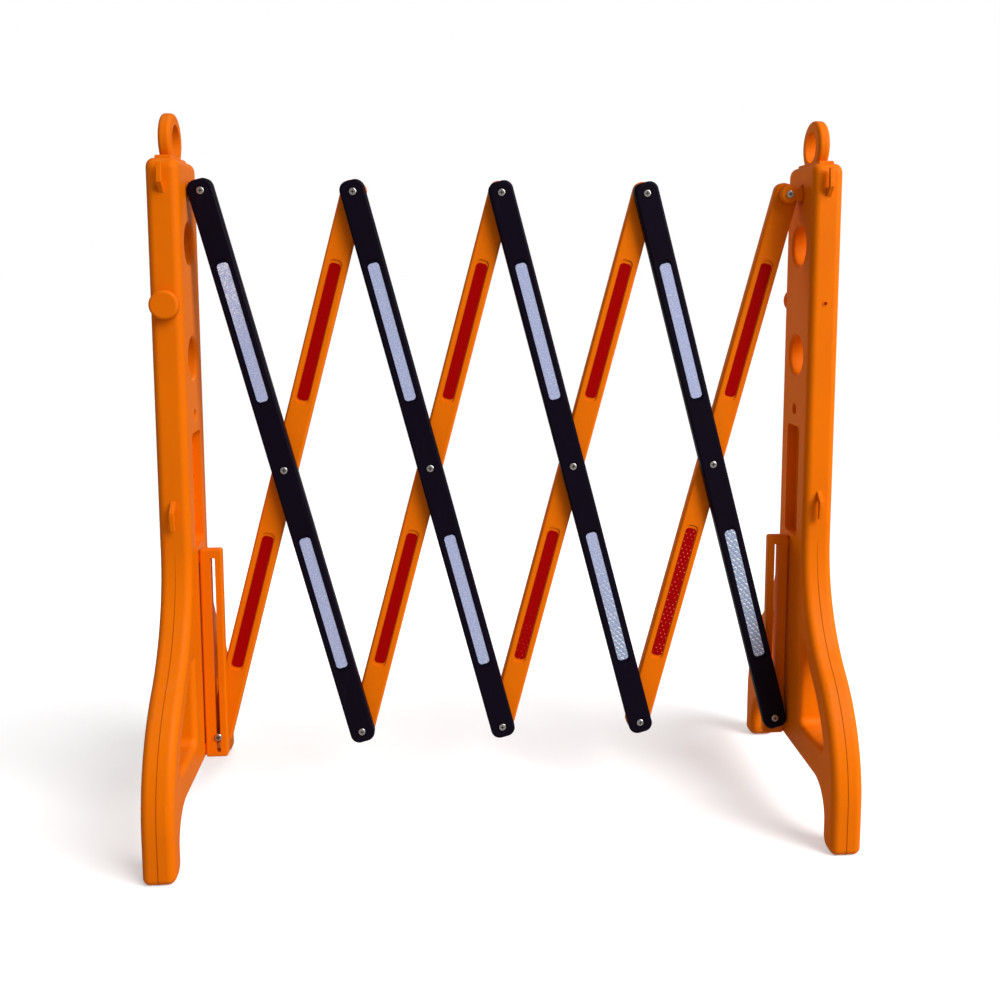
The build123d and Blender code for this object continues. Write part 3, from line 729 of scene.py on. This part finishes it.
class BARRICADE_OT_slats(bpy.types.Operator):
    """Give the slats and their reflective strips their finishes"""
    bl_idname = "barricade.slats"
    bl_label = "Slats"

    def execute(self, context):
        for bay in BAYS:
            paint(NODES["black_slat_%d" % bay], "moulded_black")
            paint(NODES["orange_slat_%d" % bay], "moulded_orange")
            paint(NODES["black_slat_%d_reflectors" % bay], "white_sheet")
            paint(NODES["orange_slat_%d_reflectors" % bay], "red_sheet")
        return {"FINISHED"}


class BARRICADE_OT_fasteners(bpy.types.Operator):
    """Give the screws, nuts and washers their zinc finish"""
    bl_idname = "barricade.fasteners"
    bl_label = "Fasteners"

    def execute(self, context):
        for body in FASTENED_BODIES:
            for kind in ("screws", "nuts", "washers"):
                paint(NODES["%s_%s" % (body, kind)], "zinc_plate")
        return {"FINISHED"}


FLOOR_GLOW = 0.32               # lifts the floor to the white of the backdrop
FLOOR_SHADE = (0.7, 0.7, 0.7)   # its faint darker clouds
KEY_SOURCE = (0.56, -0.54, 0.63)            # direction the key light comes from
KEY_SPREAD = 0.7                # its angle, in radians, for soft shadows
SIDE_PLACE = (1.75, -1.25, 1.25)
SIDE_TARGET = (0.45, 0.0, 0.45)             # middle of the right post
BACK_PLACE = (-0.36, 1.45, 0.95)
BACK_TARGET = (0.1, 0.0, 0.5)
PANEL_SIZE = 0.8                # side of both softboxes
SENSOR_WIDTH = 36.0             # millimetres


class BARRICADE_OT_stage(bpy.types.Operator):
    """Build the pale floor, the soft lights and the camera"""
    bl_idname = "barricade.stage"
    bl_label = "Stage"

    def execute(self, context):
        stage = settings()[2]
        self.floor(stage)
        self.lights(stage)
        self.camera(stage)
        return {"FINISHED"}

    def floor(self, stage):
        half = stage.floor_size / 2
        mesh = bpy.data.meshes.new("studio_floor")
        corners = [(-half, -half, 0), (half, -half, 0), (half, half, 0), (-half, half, 0)]
        mesh.from_pydata(corners, [], [(0, 1, 2, 3)])
        floor = bpy.data.objects.new("studio_floor", mesh)
        bpy.context.scene.collection.objects.link(floor)
        material, tree, shader = new_material("studio_floor")
        place = add(tree, "TexCoord").outputs["Object"]
        cloud = noise(tree, place, NOISE_SCALES["floor"])
        shade = map_range(tree, cloud, 0.3, 0.7, 0.0, 0.05)
        tone = mix_colour(tree, shade, stage.floor_colour, FLOOR_SHADE)
        seen = add(tree, "LightPath").outputs["Is Camera Ray"]
        thrown = [stage.floor_bounce] * 3
        tree.links.new(mix_colour(tree, seen, thrown, tone), shader.inputs["Base Color"])
        shader.inputs["Emission Color"].default_value = LAMP_WHITE
        tree.links.new(math_node(tree, "MULTIPLY", seen, FLOOR_GLOW), shader.inputs["Emission Strength"])
        shader.inputs["Specular IOR Level"].default_value = 0.0
        shader.inputs["Roughness"].default_value = 0.9
        floor.data.materials.append(material)

    def lights(self, stage):
        world = bpy.data.worlds.new("studio")
        world.use_nodes = True
        tree = world.node_tree
        background = tree.nodes["Background"]
        background.inputs["Color"].default_value = LAMP_WHITE
        seen = add(tree, "LightPath").outputs["Is Camera Ray"]
        tree.links.new(map_range(tree, seen, 0.0, 1.0, stage.sky, 1.0), background.inputs["Strength"])
        bpy.context.scene.world = world
        for name, place, target, watts in (("side_softbox", SIDE_PLACE, SIDE_TARGET, stage.side),
                                           ("back_softbox", BACK_PLACE, BACK_TARGET, stage.back)):
            panel = self.lamp(name, "AREA", watts, Vector(place) - Vector(target))
            panel.data.size = PANEL_SIZE
            panel.location = place
            panel.visible_glossy = name == "side_softbox"       # the back one leaves no glare
        self.lamp("key_softbox", "SUN", stage.key, Vector(KEY_SOURCE)).data.angle = KEY_SPREAD

    def lamp(self, name, kind, strength, source):
        """Light that shines away from the direction of its source."""
        light = bpy.data.lights.new(name, kind)
        light.energy = strength
        lamp = bpy.data.objects.new(name, light)
        bpy.context.scene.collection.objects.link(lamp)
        lamp.rotation_mode = "QUATERNION"
        lamp.rotation_quaternion = source.to_track_quat("Z", "Y")
        return lamp

    def camera(self, stage):
        data = bpy.data.cameras.new("studio_camera")
        data.sensor_width = SENSOR_WIDTH
        data.lens = stage.camera_lens
        data.shift_x, data.shift_y = stage.camera_shift
        camera = bpy.data.objects.new("studio_camera", data)
        yaw, pitch, roll = stage.camera_turn
        facing = (Matrix.Rotation(-yaw, 4, "Z") @ Matrix.Rotation(math.pi / 2 - pitch, 4, "X")
                  @ Matrix.Rotation(roll, 4, "Z"))
        camera.matrix_world = Matrix.Translation(stage.camera_place) @ facing
        bpy.context.scene.collection.objects.link(camera)
        bpy.context.scene.camera = camera
        bpy.context.scene.view_settings.view_transform = "Standard"


OPERATORS = (BARRICADE_OT_posts, BARRICADE_OT_seams, BARRICADE_OT_slats, BARRICADE_OT_fasteners,
             BARRICADE_OT_recesses, BARRICADE_OT_stage)
SETTINGS = (("barricade_colours", BarricadeColours), ("barricade_sizes", BarricadeSizes),
            ("barricade_stage", BarricadeStage))


class BARRICADE_PT_panel(bpy.types.Panel):
    bl_label = "Scissor Barricade"
    bl_idname = "BARRICADE_PT_panel"
    bl_space_type = "VIEW_3D"
    bl_region_type = "UI"
    bl_category = "Barricade"

    def draw(self, context):
        for name, group in SETTINGS:
            box = self.layout.box()
            for key in group.__annotations__:
                box.prop(getattr(context.scene, name), key)
        for operator in OPERATORS:
            self.layout.operator(operator.bl_idname)


def register():
    for name, group in SETTINGS:
        bpy.utils.register_class(group)
        setattr(bpy.types.Scene, name, bpy.props.PointerProperty(type=group))
    for item in OPERATORS + (BARRICADE_PT_panel,):
        bpy.utils.register_class(item)


def unregister():
    for item in reversed(OPERATORS + (BARRICADE_PT_panel,)):
        bpy.utils.unregister_class(item)
    for name, group in reversed(SETTINGS):
        delattr(bpy.types.Scene, name)
        bpy.utils.unregister_class(group)


def main():
    register()
    for operator in OPERATORS:
        group, name = operator.bl_idname.split(".")
        getattr(getattr(bpy.ops, group), name)()


if __name__ == "__main__":
    main()
